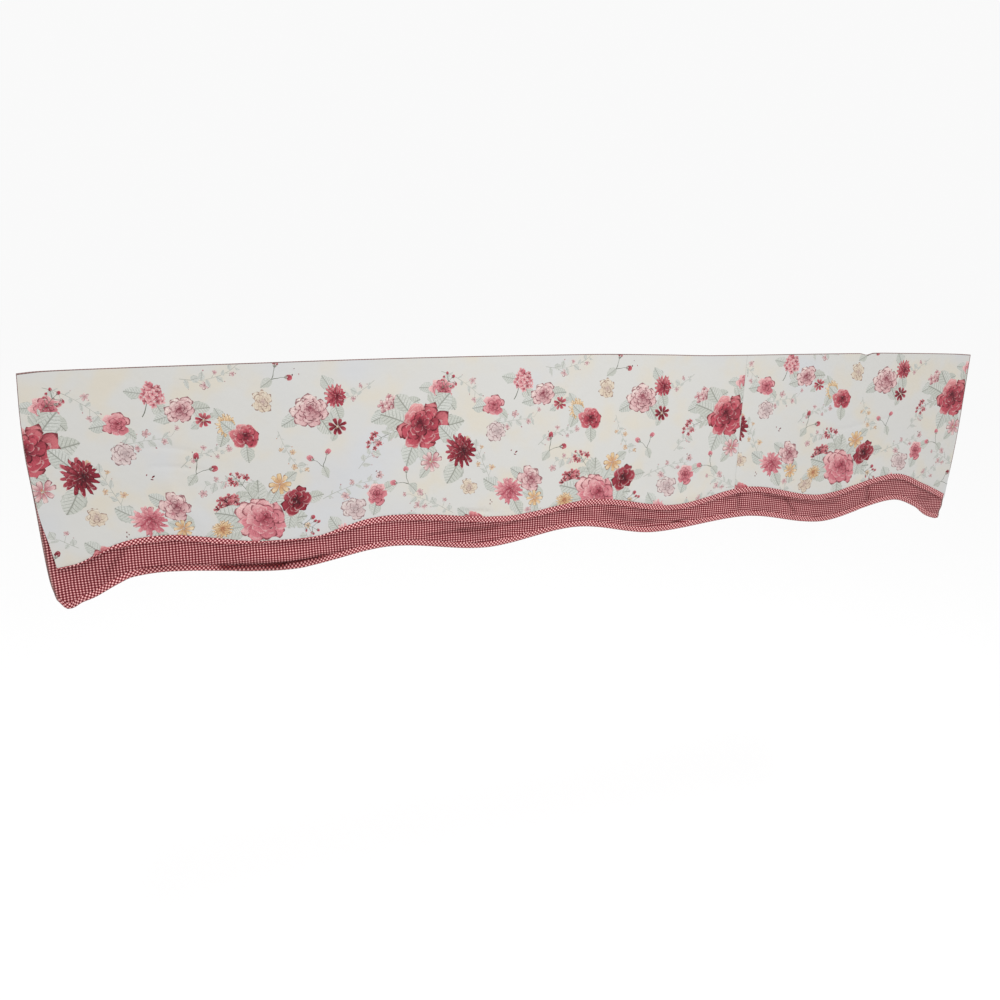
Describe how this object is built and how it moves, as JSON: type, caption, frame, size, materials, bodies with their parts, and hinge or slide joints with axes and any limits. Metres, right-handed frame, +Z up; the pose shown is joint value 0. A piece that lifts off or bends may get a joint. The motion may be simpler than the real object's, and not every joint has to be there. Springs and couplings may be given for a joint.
{
  "type": "window valance",
  "caption": "Flat two-layer window valance with a scalloped hem: a floral overlay sewn from two widths over a longer checked underlay, each hem bound in bias tape.",
  "frame": {"origin": "middle of the top edge, at its highest point and on the middle of the underlay's thickness", "axes": "+X runs to the right along the width, -Y is the front that faces the room, +Z is up"},
  "size_m": [2.0427, 0.0172, 0.4397],
  "materials": {
    "checked_cotton": "plain-weave cotton in a small woven check of pale pink, rose and dark red",
    "checked_tape": "the same checked cotton cut on the bias, folded over the raw edge and stitched",
    "floral_cotton": "plain-weave cotton with a matte multicolour floral print on a pale grey-white ground"
  },
  "bodies": {
    "root": {"gingham_underlay": "checked_cotton", "underlay_binding": "checked_tape", "floral_panel_left": "floral_cotton", "floral_panel_right": "floral_cotton", "overlay_binding": "checked_tape"}
  },
  "joints": []
}
